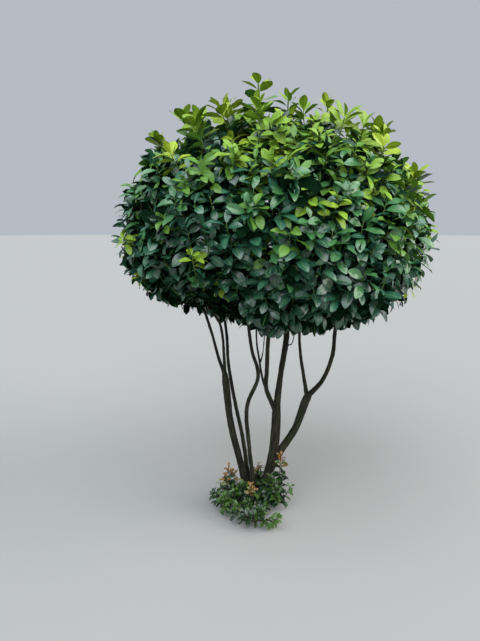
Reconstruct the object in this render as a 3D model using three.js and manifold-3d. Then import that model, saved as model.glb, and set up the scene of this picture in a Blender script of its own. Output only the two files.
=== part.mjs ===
// A multi-stem laurel: bare leaning stems from one root crown carry a broad clipped dome of foliage.
// Millimetres, +Z up, +X to the viewer's right, -Y towards the viewer.
// The origin is on the flat cut at ground level, in the middle of the root crown that all stems rise from.
import * as THREE from "three";
import { mergeVertices } from "three/addons/utils/BufferGeometryUtils.js";
import Module from "manifold-3d";

const wasm = await Module();
wasm.setup();

// Driving dimensions of the clipped crown: a dome that is squarer below than above.
const CROWN_CENTRE = [90, 0, 1650];
const CROWN_RADIUS = 835;
const DOME_HEIGHT = 600;
const DOME_ROUNDNESS = 2.3;
const SKIRT_DEPTH = 560;
const SKIRT_ROUNDNESS = 2.6;

// The crown's sectors: eight round the rim, and one in the middle that is wider than they are.
const RIM_SITE_RADIUS = 470;
const RIM_SITE_HEIGHT = 1560;
const MIDDLE_SITE = [125, 25, 1770];
const MIDDLE_WIDENING = 95000;
const SECTOR_GAP = 7;

// The dense inside of each mass, which shoots and leaves stand out of, and the stem that carries it.
const CORE_DEPTH = 150;
const CORE_MOST_REACH = 430;
const CORE_ROUNDING = 9;
const CORE_DETAIL = 2;
const INNER_STEM_RUN = 90;

// Shoots and leaves of the crown. A leaf here is larger than a real one, and stands for several.
const SHOOT_COUNT = 109;
const SHOOT_RADIUS = 5.5;
const SHOOT_TIP_DEPTH = 98;
const SHOOT_ROOT_DEPTH = 34;
const LEAF_LENGTH = 156;
const LEAF_WIDTH = 76;
const LEAVES_PER_SHOOT = 5;
const LEAF_STEP = 15;
const LEAF_TRIES = 3;
const OUTLINE_SLACK = 1.03;

// Young shoots that have grown past the clipped dome since it was last cut: where each tip stands.
const LEADERS = [
  [-10, -120, 2368],
  [140, -110, 2280],
  [356, -10, 2285],
  [-338, -60, 2222],
  [-545, -60, 2135],
  [668, -40, 2150],
  [420, 300, 2235],
  [-120, 380, 2230],
  [-420, 310, 2120],
  [745, -250, 1965],
];
const LEADER_LENGTH = 190;
const LEADER_TIP_DEPTH = 92;
const LEADER_LEAVES = 5;

// Low leafy shoots round the foot. They grow from the root crown, and their leaves are small.
const FOOT_LEAF_LENGTH = 80;
const FOOT_LEAF_WIDTH = 40;
const FOOT_LEAF_STEP = 52;
const FOOT_SHOOT_RADIUS = 3.2;
const FOOT_STEM_RADII = [7.5, 6.5, 4.5];
const FOOT_STEM_HEIGHTS = [18, 52];
const FOOT_GROUND_GAP = 5;

// The root crown, a low rounded stool, and the clearance that separate pieces keep.
const STOOL_CENTRE = [2, -8, 0];
const STOOL_SIZE = [90, 68, 54];
const CLEARANCE = 0.35;
const LIMB_CLEARANCE = 5;

const GOLDEN_ANGLE = Math.PI * (3 - Math.sqrt(5));
const UP = new THREE.Vector3(0, 0, 1);
const vector = (xyz) => new THREE.Vector3(...xyz);
const CENTRE = vector(CROWN_CENTRE);

// Every limb: places on its middle line with its radius at each, and how its outline is faceted.
// A limb is cut clear of its parents, which it grows from.
const LIMBS = {
  trunk: {
    path: [[24, -6, -40], [34, -6, 30], [63, 0, 124], [100, 4, 285], [114, 5, 440], [119, 9, 606]],
    radii: [52, 39, 30, 29, 29, 21],
    sides: 12,
    rings: 12,
    parents: [],
  },
  centre_bough: {
    path: [[119, 9, 606], [141, 30, 790], [172, 56, 1010], [158, 45, 1205]],
    radii: [20, 16.5, 18, 15],
    sides: 9,
    rings: 8,
    parents: ["trunk"],
  },
  front_bough: {
    path: [
      [112, 4, 560], [84, -8, 622], [52, -34, 712],
      [52, -76, 825], [64, -190, 1110], [112, -264, 1190],
    ],
    radii: [15, 14, 13.5, 12.5, 11, 10],
    sides: 8,
    rings: 10,
    parents: ["trunk", "centre_bough"],
  },
  thin_bough: {
    path: [[54, -32, 708], [38, -2, 738], [14, 108, 862], [2, 185, 960], [18, 318, 1180]],
    radii: [8, 7.6, 6.6, 6, 5.4],
    sides: 7,
    rings: 9,
    parents: ["front_bough"],
  },
  right_stem: {
    path: [[78, 1, 190], [150, 9, 315], [226, 5, 444], [297, 0, 650]],
    radii: [24, 23, 21, 22],
    sides: 10,
    rings: 8,
    parents: ["trunk"],
  },
  right_outer_bough: {
    path: [[297, 0, 650], [372, -20, 752], [421, -42, 905], [430, -54, 1060], [452, -60, 1195]],
    radii: [17, 13, 11.5, 11, 10],
    sides: 8,
    rings: 9,
    parents: ["right_stem"],
  },
  right_inner_bough: {
    path: [[294, 0, 640], [284, 28, 706], [266, 140, 870], [266, 218, 1000], [290, 288, 1190]],
    radii: [13, 12, 9.6, 9.2, 8.6],
    sides: 8,
    rings: 8,
    parents: ["right_stem", "right_outer_bough"],
  },
  left_stem: {
    path: [[-46, -12, 20], [-86, -15, 204], [-152, -30, 502], [-184, -40, 796]],
    radii: [26, 21, 20, 17.5],
    sides: 10,
    rings: 8,
    parents: ["trunk"],
  },
  left_outer_bough: {
    path: [[-182, -40, 782], [-220, -40, 902], [-250, -38, 1020], [-302, -34, 1190]],
    radii: [12, 9.2, 8.6, 8],
    sides: 8,
    rings: 7,
    parents: ["left_stem"],
  },
  left_inner_bough: {
    path: [[-183, -40, 782], [-184, -62, 850], [-200, -176, 1110], [-236, -232, 1190]],
    radii: [11, 9.2, 7.4, 7],
    sides: 8,
    rings: 7,
    parents: ["left_stem", "left_outer_bough"],
  },
  back_left_stem: {
    path: [
      [-34, 36, 14], [-82, 50, 370], [-133, 110, 600],
      [-170, 182, 812], [-178, 232, 945], [-214, 318, 1190],
    ],
    radii: [15, 12.2, 11.4, 10.6, 10, 9],
    sides: 8,
    rings: 12,
    parents: ["trunk"],
  },
  slender_stem: {
    path: [
      [-2, -40, 14], [-45, -55, 370], [-57, -76, 620],
      [3, -106, 806], [-34, -172, 975], [-62, -300, 1190],
    ],
    radii: [15, 12.5, 11.6, 11, 9.4, 8.4],
    sides: 8,
    rings: 15,
    parents: ["trunk"],
  },
};

// Every mass of the crown: the bough that carries it, and its bearing round the crown, counted from +X.
const MASSES = [
  { name: "foliage_right", bough: "right_outer_bough", bearing: 350 },
  { name: "foliage_back_right", bough: "right_inner_bough", bearing: 52 },
  { name: "foliage_back", bough: "thin_bough", bearing: 98 },
  { name: "foliage_back_left", bough: "back_left_stem", bearing: 138 },
  { name: "foliage_left", bough: "left_outer_bough", bearing: 180 },
  { name: "foliage_front_left", bough: "left_inner_bough", bearing: 214 },
  { name: "foliage_front", bough: "slender_stem", bearing: 245 },
  { name: "foliage_front_right", bough: "front_bough", bearing: 286 },
  { name: "foliage_top", bough: "centre_bough" },
];

// Every mass of low shoots: the bearing at which it leaves the root crown, half its sector's width in
// degrees, how far out its stem ends, the height of its tallest shoot, and its number of shoots.
const FOOT_MASSES = [
  { name: "foot_shoots_left", bearing: 217, halfWidth: 30, reach: 235, height: 268, shoots: 5 },
  { name: "foot_shoots_front", bearing: 268, halfWidth: 20, reach: 290, height: 205, shoots: 4 },
  { name: "foot_shoots_right", bearing: 319, halfWidth: 30, reach: 235, height: 308, shoots: 5 },
  { name: "foot_shoots_back", bearing: 80, halfWidth: 36, reach: 165, height: 215, shoots: 3 },
];

// A repeatable number from 0 to 1 for a shoot or leaf, by its number and by what the number is for.
function chance(index, use) {
  let h = Math.imul(index + 1, 0x9e3779b1) ^ Math.imul(use + 1, 0x85ebca6b);
  h ^= h >>> 15;
  h = Math.imul(h, 0x2c1b3c6d);
  h ^= h >>> 12;
  h = Math.imul(h, 0x297a2d39);
  h ^= h >>> 15;
  return (h >>> 0) / 4294967296;
}

// A closed solid from its corners and its triangles, whose corners run anticlockwise seen from outside.
function solidOf(corners, triangles) {
  return new wasm.Manifold(
    new wasm.Mesh({
      numProp: 3,
      vertProperties: Float32Array.from(corners.flatMap((p) => [p.x, p.y, p.z])),
      triVerts: Uint32Array.from(triangles.flat()),
    }),
  );
}

// A value read off a row of values at a share of the row's length.
function along(row, share) {
  const place = share * (row.length - 1);
  const before = Math.min(Math.floor(place), row.length - 2);
  return row[before] + (row[before + 1] - row[before]) * (place - before);
}

// A limb: rings of corners round a smooth curve through the path, closed by a flat end at either side.
// Swell makes it that much thicker and longer all over, for cutting a neighbour clear of it.
function limb({ path, radii, sides, rings }, swell = 0) {
  const curve = new THREE.CatmullRomCurve3(path.map(vector), false, "centripetal");
  const run = curve.getPoint(1).sub(curve.getPoint(0)).normalize();
  const reference = Math.abs(run.x) < 0.8 ? new THREE.Vector3(1, 0, 0) : new THREE.Vector3(0, 1, 0);
  const corners = [];
  for (let ring = 0; ring <= rings; ring++) {
    const share = ring / rings;
    const heading = curve.getTangent(share).normalize();
    const across = reference.clone().addScaledVector(heading, -reference.dot(heading)).normalize();
    const aside = heading.clone().cross(across);
    const middle = curve.getPoint(share);
    if (ring === 0) middle.addScaledVector(heading, -swell);
    if (ring === rings) middle.addScaledVector(heading, swell);
    const radius = along(radii, share) + swell;
    for (let side = 0; side < sides; side++) {
      const angle = (2 * Math.PI * side) / sides;
      const rim = middle.clone().addScaledVector(across, radius * Math.cos(angle));
      corners.push(rim.addScaledVector(aside, radius * Math.sin(angle)));
    }
  }
  const triangles = [];
  for (let ring = 0; ring < rings; ring++) {
    for (let side = 0; side < sides; side++) {
      const next = (side + 1) % sides;
      const low = ring * sides;
      const high = low + sides;
      triangles.push([low + side, low + next, high + next], [low + side, high + next, high + side]);
    }
  }
  const last = rings * sides;
  for (let side = 1; side < sides - 1; side++) {
    triangles.push([0, side + 1, side], [last, last + side, last + side + 1]);
  }
  return solidOf(corners, triangles);
}

// Everything below ground level, for the flat cut under the root crown.
function belowGround(depth) {
  const box = new THREE.BoxGeometry(2000, 2000, depth).translate(0, 0, -depth / 2);
  return solidFromGeometry(box);
}

function solidFromGeometry(geometry) {
  geometry.deleteAttribute("normal");
  geometry.deleteAttribute("uv");
  const merged = mergeVertices(geometry, 1e-4);
  return new wasm.Manifold(
    new wasm.Mesh({
      numProp: 3,
      vertProperties: merged.attributes.position.array,
      triVerts: Uint32Array.from(merged.index.array),
    }),
  );
}

// The root crown: a low rounded stool, which the flat cut at ground level halves.
function stool(swell = 0) {
  const [length, width, height] = STOOL_SIZE.map((size) => size + swell);
  const lump = new THREE.SphereGeometry(1, 14, 8).rotateX(Math.PI / 2).scale(length, width, height);
  return solidFromGeometry(lump.translate(...STOOL_CENTRE));
}

// The trunk is one solid with the root crown. Every other limb is cut clear of those that it grows from.
function trunkSolid(swell = 0) {
  return limb(LIMBS.trunk, swell).add(stool(swell));
}

function limbSolid(name) {
  if (name === "trunk") return trunkSolid().subtract(belowGround(200));
  let solid = limb(LIMBS[name]);
  for (const parent of LIMBS[name].parents) {
    const grown = parent === "trunk" ? trunkSolid(CLEARANCE) : limb(LIMBS[parent], CLEARANCE);
    solid = solid.subtract(grown);
  }
  return largestBody(solid);
}

// The largest piece of a solid, with any sealed hollow filled and any loose scrap dropped.
function largestBody(solid) {
  const bodies = solid.decompose();
  return bodies.reduce((best, body) => (body.volume() > best.volume() ? body : best));
}

// Places along every limb with the limb's radius there, to keep leaves and shoots clear of it.
const limbPlaces = Object.values(LIMBS).flatMap(({ path, radii }) => {
  const curve = new THREE.CatmullRomCurve3(path.map(vector), false, "centripetal");
  const count = Math.ceil(curve.getLength() / 8);
  return Array.from({ length: count + 1 }, (_, i) => ({
    middle: curve.getPoint(i / count),
    radius: along(radii, i / count),
  }));
});

function clearOfLimbs(point, clearance = LIMB_CLEARANCE) {
  return limbPlaces.every(({ middle, radius }) => point.distanceTo(middle) > radius + clearance);
}

// How far out a point is from the crown's centre, as a share of the clipped outline there.
// The outline is a superellipse turned about the upright.
function outlineShare(point) {
  const from = point.clone().sub(CENTRE);
  const radial = Math.hypot(from.x, from.y) / CROWN_RADIUS;
  const [height, roundness] = from.z > 0 ? [DOME_HEIGHT, DOME_ROUNDNESS] : [SKIRT_DEPTH, SKIRT_ROUNDNESS];
  return (radial ** roundness + (Math.abs(from.z) / height) ** roundness) ** (1 / roundness);
}

// How far it is from a place inside the crown to the clipped outline in a direction, found by halving.
function reachToOutline(place, direction) {
  let inside = 0;
  let outside = 2000;
  for (let step = 0; step < 24; step++) {
    const middle = (inside + outside) / 2;
    if (outlineShare(place.clone().addScaledVector(direction, middle)) < 1) inside = middle;
    else outside = middle;
  }
  return inside;
}

// The middle of each mass, and how much wider its sector is than its neighbours'.
const sites = MASSES.map(({ bearing }) => {
  if (bearing === undefined) return { place: vector(MIDDLE_SITE), widening: MIDDLE_WIDENING };
  const angle = (bearing * Math.PI) / 180;
  const x = CENTRE.x + RIM_SITE_RADIUS * Math.cos(angle);
  const y = CENTRE.y + RIM_SITE_RADIUS * Math.sin(angle);
  return { place: new THREE.Vector3(x, y, RIM_SITE_HEIGHT), widening: 0 };
});

// The flat borders of a mass's sector: each halves the way to a neighbour, less what the wider one takes.
function borders(mass) {
  const { place, widening } = sites[mass];
  return sites
    .filter((_, other) => other !== mass)
    .map((other) => {
      const way = other.place.clone().sub(place);
      const length = way.length();
      const distance = (length ** 2 + widening - other.widening) / (2 * length);
      return { towards: way.normalize(), distance };
    });
}

// How far inside its sector a point is.
function insideSector(mass, point) {
  const from = point.clone().sub(sites[mass].place);
  return Math.min(...borders(mass).map(({ towards, distance }) => distance - from.dot(towards)));
}

// The mass whose sector a point is in.
function sectorOf(point) {
  const gaps = MASSES.map((_, mass) => insideSector(mass, point));
  return gaps.indexOf(Math.max(...gaps));
}

// How far a mass's core reaches from its middle in a direction: a rounded least of the ways
// to the outline, to the sector's borders and to its most reach.
function coreReach(mass, direction) {
  const { place } = sites[mass];
  const ways = [CORE_MOST_REACH, reachToOutline(place, direction) - CORE_DEPTH];
  for (const { towards, distance } of borders(mass)) {
    const slope = direction.dot(towards);
    if (slope > 0.02) ways.push((distance - SECTOR_GAP) / slope);
  }
  return ways.reduce((sum, way) => sum + way ** -CORE_ROUNDING, 0) ** (-1 / CORE_ROUNDING);
}

// The core: a ball drawn out in every direction to its reach there.
function core(mass) {
  const ball = new THREE.IcosahedronGeometry(1, CORE_DETAIL);
  ball.deleteAttribute("normal");
  ball.deleteAttribute("uv");
  const merged = mergeVertices(ball, 1e-4);
  const positions = merged.attributes.position;
  for (let i = 0; i < positions.count; i++) {
    const direction = new THREE.Vector3().fromBufferAttribute(positions, i).normalize();
    const corner = sites[mass].place.clone().addScaledVector(direction, coreReach(mass, direction));
    positions.setXYZ(i, corner.x, corner.y, corner.z);
  }
  return solidFromGeometry(merged);
}

// A twig: a three-sided tapering tube along a bend from its root, by way of its elbow, to its tip.
function twig(root, elbow, tip, radius, rings = 2) {
  return limb({ path: [root, elbow, tip], radii: [radius, radius * 0.8, radius * 0.55], sides: 3, rings });
}

// The way a leaf points: spread from the shoot's heading, turned round it, and drooping a little.
function leafHeading(heading, turn, spread, droop) {
  const level = Math.abs(heading.z) < 0.9 ? UP : new THREE.Vector3(1, 0, 0);
  const out = heading.clone().cross(level).normalize().applyAxisAngle(heading, turn);
  return heading
    .clone()
    .multiplyScalar(Math.cos(spread))
    .addScaledVector(out, Math.sin(spread))
    .addScaledVector(UP, -droop)
    .normalize();
}

// A leaf's six corners: root and tip, and two pairs at its edges, raised so that the blade arches.
function leafCorners(root, heading, facing, length, width) {
  const face = facing.clone().addScaledVector(heading, -facing.dot(heading)).normalize();
  const aside = face.clone().cross(heading);
  const at = (forward, sideways, up) =>
    root
      .clone()
      .addScaledVector(heading, forward * length)
      .addScaledVector(aside, sideways * width)
      .addScaledVector(face, up * length);
  return [
    at(0, 0, 0),
    at(0.3, 0.38, 0.05),
    at(0.7, 0.46, 0.055),
    at(1, 0, 0),
    at(0.7, -0.46, 0.055),
    at(0.3, -0.38, 0.05),
  ];
}

// The leaf's solid, of eight faces: flat above, from edge to edge, and keeled below from root to tip.
function leafSolid(corners) {
  const above = [[0, 5, 1], [1, 5, 4], [1, 4, 2], [2, 4, 3]];
  const below = [[0, 1, 3], [1, 2, 3], [0, 3, 5], [5, 3, 4]];
  return solidOf(corners, [...above, ...below]);
}

// A leaf is kept if the places on a net over its blade are where they may be.
function leafFits([root, left, farLeft, tip, farRight, right], fits) {
  const between = (from, to, share) => from.clone().lerp(to, share);
  const edge = (near, far) =>
    [between(root, near, 0.6), near, between(near, far, 0.5), far, between(far, tip, 0.5)];
  const rightEdge = edge(right, farRight);
  const net = edge(left, farLeft).flatMap((place, i) =>
    [0, 0.25, 0.5, 0.75, 1].map((share) => between(place, rightEdge[i], share)),
  );
  return [tip, ...net].every(fits);
}

// A twig is kept if the places along its bend, and round them at its widest, are where it may be.
function twigFits(root, elbow, tip, radius, fits) {
  const curve = new THREE.QuadraticBezierCurve3(root, elbow, tip);
  const clear = (point) => fits(point) && clearOfLimbs(point, radius + LIMB_CLEARANCE);
  return curve.getPoints(8).every(clear);
}

// The leaves of one shoot, from its tip downwards. The topmost stand up, and the lower ones spread.
// A leaf that doesn't fit is turned on round the shoot, and after its last try it is skipped.
function leavesOf({ root, elbow, tip, number, count, step, length, width, facing, fits }) {
  const curve = new THREE.QuadraticBezierCurve3(root, elbow, tip);
  const run = curve.getLength();
  const solids = [];
  for (let leaf = 0; leaf < count; leaf++) {
    const share = Math.max(0.1, 1 - (leaf * step + 2) / run);
    const heading = curve.getTangent(share).normalize();
    const lean = 36 + 44 * Math.sqrt(leaf / (count - 1)) + 14 * (chance(number, 10 + leaf) - 0.5);
    const spread = THREE.MathUtils.degToRad(lean);
    const size = 0.88 + 0.22 * chance(number, 30 + leaf) - (leaf === 0 ? 0.1 : 0);
    for (let attempt = 0; attempt < LEAF_TRIES; attempt++) {
      const turn = (leaf + attempt * count) * GOLDEN_ANGLE + chance(number, 1) * 2 * Math.PI;
      const pointing = leafHeading(heading, turn, spread, 0.08 + 0.16 * chance(number, 50 + leaf));
      const corners = leafCorners(curve.getPoint(share), pointing, facing, length * size, width * size);
      if (!leafFits(corners, fits)) continue;
      solids.push(leafSolid(corners));
      break;
    }
  }
  return solids;
}

// The shoots of the whole crown. Their aims lie evenly over the clipped outline, on a golden spiral.
function crownShoots() {
  const shoots = [];
  for (let number = 0; number < SHOOT_COUNT; number++) {
    const height = 1 - (2 * number + 1) / SHOOT_COUNT;
    const angle = number * GOLDEN_ANGLE;
    const level = Math.sqrt(1 - height * height);
    const ray = new THREE.Vector3(level * Math.cos(angle), level * Math.sin(angle), height * 0.8);
    ray.normalize();
    const aim = CENTRE.clone().addScaledVector(ray, reachToOutline(CENTRE, ray));
    shoots.push({ number, aim, mass: sectorOf(CENTRE.clone().lerp(aim, 0.86)) });
  }
  return shoots;
}

// Where a crown shoot leaves the core, bends and ends. It leaves aslant and turns up towards the light.
function shootBend(mass, aim) {
  const outward = aim.clone().sub(CENTRE).normalize();
  const tip = aim.clone().addScaledVector(outward, -SHOOT_TIP_DEPTH);
  const way = tip.clone().sub(sites[mass].place).normalize();
  const depth = coreReach(mass, way) - SHOOT_ROOT_DEPTH;
  const root = sites[mass].place.clone().addScaledVector(way, depth);
  const elbow = root.clone().lerp(tip, 0.55).addScaledVector(UP, -10).addScaledVector(outward, 6);
  return { root, elbow, tip, outward };
}

// The stem inside a mass: it starts clear of its bough's tip, runs on from it and ends in the core.
function innerStem(mass) {
  const { path, radii } = LIMBS[MASSES[mass].bough];
  const bough = new THREE.CatmullRomCurve3(path.map(vector), false, "centripetal");
  const heading = bough.getTangent(1).normalize();
  const start = bough.getPoint(1).addScaledVector(heading, CLEARANCE);
  const bend = start.clone().addScaledVector(heading, INNER_STEM_RUN);
  const radius = radii[radii.length - 1];
  const stem = { path: [start, bend, sites[mass].place], radii: [radius, radius, radius * 0.8] };
  return limb({ ...stem, sides: 6, rings: 4 });
}

// A mass of the crown: its core, cut clear of the limbs, with its stem, shoots, leaders and leaves.
function crownMass(mass) {
  const limbs = Object.values(LIMBS).map((shape) => limb(shape, LIMB_CLEARANCE));
  const parts = [core(mass).subtract(wasm.Manifold.union(limbs)), innerStem(mass)];
  const inSector = (point) => insideSector(mass, point) > SECTOR_GAP / 2 && clearOfLimbs(point);
  const inCrown = (point) => inSector(point) && outlineShare(point) < OUTLINE_SLACK;
  const leaves = { step: LEAF_STEP, length: LEAF_LENGTH, width: LEAF_WIDTH, count: LEAVES_PER_SHOOT };
  for (const { number, aim } of crownShoots().filter((shoot) => shoot.mass === mass)) {
    const { root, elbow, tip, outward } = shootBend(mass, aim);
    if (!twigFits(root, elbow, tip, SHOOT_RADIUS, inCrown)) continue;
    parts.push(twig(root, elbow, tip, SHOOT_RADIUS, 1));
    const facing = outward.clone().addScaledVector(UP, 0.9);
    parts.push(...leavesOf({ root, elbow, tip, number, facing, fits: inCrown, ...leaves }));
  }
  const small = { step: 20, length: LEAF_LENGTH * 0.82, width: LEAF_WIDTH * 0.82, count: LEADER_LEAVES };
  LEADERS.forEach((top, order) => {
    const tip = vector(top).addScaledVector(UP, -LEADER_TIP_DEPTH);
    const root = tip.clone().addScaledVector(UP, -LEADER_LENGTH).lerp(sites[mass].place, 0.15);
    const elbow = root.clone().lerp(tip, 0.5);
    const fits = (point) => inSector(point) && point.z < top[2] + 4;
    if (sectorOf(vector(top)) !== mass || !twigFits(root, elbow, tip, SHOOT_RADIUS, fits)) return;
    parts.push(twig(root, elbow, tip, SHOOT_RADIUS, 3));
    const number = SHOOT_COUNT + order;
    parts.push(...leavesOf({ root, elbow, tip, number, facing: UP, fits, ...small }));
  });
  return largestBody(wasm.Manifold.union(parts));
}

// A mass of low shoots: a short stem from the root crown's side, and upright leafy shoots along it.
// It keeps to a sector round the foot, clear of the stems and just above the ground.
function footMass({ bearing, halfWidth, reach, height, shoots }, order) {
  const angle = THREE.MathUtils.degToRad(bearing);
  const out = new THREE.Vector3(Math.cos(angle), Math.sin(angle), 0);
  const lateral = new THREE.Vector3(-out.y, out.x, 0);
  const foot = vector(STOOL_CENTRE);
  const widest = THREE.MathUtils.degToRad(halfWidth);
  const fits = (point) => {
    const from = point.clone().sub(foot);
    const aside = Math.abs(Math.atan2(from.dot(lateral), from.dot(out)));
    return aside < widest && point.z > FOOT_GROUND_GAP && clearOfLimbs(point);
  };
  const [low, high] = FOOT_STEM_HEIGHTS;
  const start = foot.clone().addScaledVector(out, STOOL_SIZE[1] - 12).addScaledVector(UP, low);
  const end = foot.clone().addScaledVector(out, reach).addScaledVector(UP, high);
  const bend = start.clone().lerp(end, 0.5).addScaledVector(UP, 8);
  const stem = limb({ path: [start, bend, end], radii: FOOT_STEM_RADII, sides: 5, rings: 3 });
  const stemCurve = new THREE.QuadraticBezierCurve3(start, bend, end);
  const parts = [stem.subtract(trunkSolid(CLEARANCE))];
  const facing = out.clone().multiplyScalar(0.5).add(UP);
  for (let shoot = 0; shoot < shoots; shoot++) {
    const number = 400 + order * 20 + shoot;
    const root = stemCurve.getPoint(0.25 + (0.73 * shoot) / (shoots - 1));
    const away = root.distanceTo(foot) * Math.tan(widest);
    const sway = (shoot % 2 ? 1 : -1) * (0.3 + 0.4 * chance(number, 3)) * away;
    const share = shoot === 1 ? 1 : 0.5 + 0.3 * chance(number, 4);
    const tip = new THREE.Vector3(root.x, root.y, height * share - FOOT_LEAF_LENGTH * 0.7)
      .addScaledVector(lateral, sway)
      .addScaledVector(out, 10 + 26 * chance(number, 5));
    const elbow = root.clone().lerp(tip, 0.5).addScaledVector(lateral, sway * 0.2);
    if (!fits(tip) || !fits(elbow)) continue;
    parts.push(twig(root, elbow, tip, FOOT_SHOOT_RADIUS));
    const count = Math.floor((root.distanceTo(tip) - 20) / FOOT_LEAF_STEP) + 2;
    const leaves = { step: FOOT_LEAF_STEP, length: FOOT_LEAF_LENGTH, width: FOOT_LEAF_WIDTH, count };
    parts.push(...leavesOf({ root, elbow, tip, number, facing, fits, ...leaves }));
  }
  return largestBody(wasm.Manifold.union(parts));
}

const BARK = new THREE.MeshStandardMaterial({ color: 0x4b4436, roughness: 0.9, metalness: 0 });
const FOLIAGE = new THREE.MeshStandardMaterial({ color: 0x2c5a2f, roughness: 0.45, metalness: 0 });
const YOUNG_FOLIAGE = new THREE.MeshStandardMaterial({ color: 0x5c7a2c, roughness: 0.5, metalness: 0 });

function meshOf(name, solid, material) {
  const { vertProperties, triVerts } = solid.getMesh();
  const geometry = new THREE.BufferGeometry();
  geometry.setAttribute("position", new THREE.BufferAttribute(Float32Array.from(vertProperties), 3));
  geometry.setIndex(new THREE.BufferAttribute(Uint32Array.from(triVerts), 1));
  geometry.computeVertexNormals();
  const mesh = new THREE.Mesh(geometry, material);
  mesh.name = name;
  return mesh;
}

const laurel = new THREE.Group();
Object.keys(LIMBS).forEach((name) => laurel.add(meshOf(name, limbSolid(name), BARK)));
MASSES.forEach(({ name }, mass) => laurel.add(meshOf(name, crownMass(mass), FOLIAGE)));
FOOT_MASSES.forEach((mass, order) => laurel.add(meshOf(mass.name, footMass(mass, order), YOUNG_FOLIAGE)));

export default laurel;
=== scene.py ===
import bpy
import numpy as np
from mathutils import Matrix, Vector


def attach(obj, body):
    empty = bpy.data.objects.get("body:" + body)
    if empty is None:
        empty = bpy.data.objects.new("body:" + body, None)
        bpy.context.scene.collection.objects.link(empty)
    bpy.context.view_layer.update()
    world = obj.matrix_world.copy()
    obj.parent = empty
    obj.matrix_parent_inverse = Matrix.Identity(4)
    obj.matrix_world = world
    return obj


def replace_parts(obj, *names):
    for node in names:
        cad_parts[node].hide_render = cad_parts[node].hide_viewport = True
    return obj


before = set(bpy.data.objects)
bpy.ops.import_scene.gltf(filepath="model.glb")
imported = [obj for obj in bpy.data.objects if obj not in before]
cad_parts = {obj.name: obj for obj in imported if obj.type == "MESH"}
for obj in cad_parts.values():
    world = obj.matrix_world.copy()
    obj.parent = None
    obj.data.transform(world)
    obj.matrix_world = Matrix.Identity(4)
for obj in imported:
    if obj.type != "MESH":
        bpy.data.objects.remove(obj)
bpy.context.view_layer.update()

# Trunk, stems and boughs
# Living stems, thick as a wrist at the foot and as a thumb in the crown, under thin grey-brown bark. It is
# furrowed lengthways, scarred where side shoots were pruned off, and green with algae. All of them grow from
# one root crown, and a bough swells to a collar where it leaves the one that it grows from.
LIMBS = {  # places on each limb's middle line, with its radius there
    "trunk": [
        (0.024, -0.006, -0.040, 0.052),
        (0.034, -0.006, 0.030, 0.039),
        (0.063, 0.000, 0.124, 0.030),
        (0.100, 0.004, 0.285, 0.029),
        (0.114, 0.005, 0.440, 0.029),
        (0.119, 0.009, 0.606, 0.021),
    ],
    "centre_bough": [
        (0.119, 0.009, 0.606, 0.020),
        (0.141, 0.030, 0.790, 0.0165),
        (0.172, 0.056, 1.010, 0.018),
        (0.158, 0.045, 1.205, 0.015),
    ],
    "front_bough": [
        (0.112, 0.004, 0.560, 0.015),
        (0.084, -0.008, 0.622, 0.014),
        (0.052, -0.034, 0.712, 0.0135),
        (0.052, -0.076, 0.825, 0.0125),
        (0.064, -0.190, 1.110, 0.011),
        (0.112, -0.264, 1.190, 0.010),
    ],
    "thin_bough": [
        (0.054, -0.032, 0.708, 0.008),
        (0.038, -0.002, 0.738, 0.0076),
        (0.014, 0.108, 0.862, 0.0066),
        (0.002, 0.185, 0.960, 0.006),
        (0.018, 0.318, 1.180, 0.0054),
    ],
    "right_stem": [
        (0.078, 0.001, 0.190, 0.024),
        (0.150, 0.009, 0.315, 0.023),
        (0.226, 0.005, 0.444, 0.021),
        (0.297, 0.000, 0.650, 0.022),
    ],
    "right_outer_bough": [
        (0.297, 0.000, 0.650, 0.017),
        (0.372, -0.020, 0.752, 0.013),
        (0.421, -0.042, 0.905, 0.0115),
        (0.430, -0.054, 1.060, 0.011),
        (0.452, -0.060, 1.195, 0.010),
    ],
    "right_inner_bough": [
        (0.294, 0.000, 0.640, 0.013),
        (0.284, 0.028, 0.706, 0.012),
        (0.266, 0.140, 0.870, 0.0096),
        (0.266, 0.218, 1.000, 0.0092),
        (0.290, 0.288, 1.190, 0.0086),
    ],
    "left_stem": [
        (-0.046, -0.012, 0.020, 0.026),
        (-0.086, -0.015, 0.204, 0.021),
        (-0.152, -0.030, 0.502, 0.020),
        (-0.184, -0.040, 0.796, 0.0175),
    ],
    "left_outer_bough": [
        (-0.182, -0.040, 0.782, 0.012),
        (-0.220, -0.040, 0.902, 0.0092),
        (-0.250, -0.038, 1.020, 0.0086),
        (-0.302, -0.034, 1.190, 0.008),
    ],
    "left_inner_bough": [
        (-0.183, -0.040, 0.782, 0.011),
        (-0.184, -0.062, 0.850, 0.0092),
        (-0.200, -0.176, 1.110, 0.0074),
        (-0.236, -0.232, 1.190, 0.007),
    ],
    "back_left_stem": [
        (-0.034, 0.036, 0.014, 0.015),
        (-0.082, 0.050, 0.370, 0.0122),
        (-0.133, 0.110, 0.600, 0.0114),
        (-0.170, 0.182, 0.812, 0.0106),
        (-0.178, 0.232, 0.945, 0.010),
        (-0.214, 0.318, 1.190, 0.009),
    ],
    "slender_stem": [
        (-0.002, -0.040, 0.014, 0.015),
        (-0.045, -0.055, 0.370, 0.0125),
        (-0.057, -0.076, 0.620, 0.0116),
        (0.003, -0.106, 0.806, 0.011),
        (-0.034, -0.172, 0.975, 0.0094),
        (-0.062, -0.300, 1.190, 0.0084),
    ],
}
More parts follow.
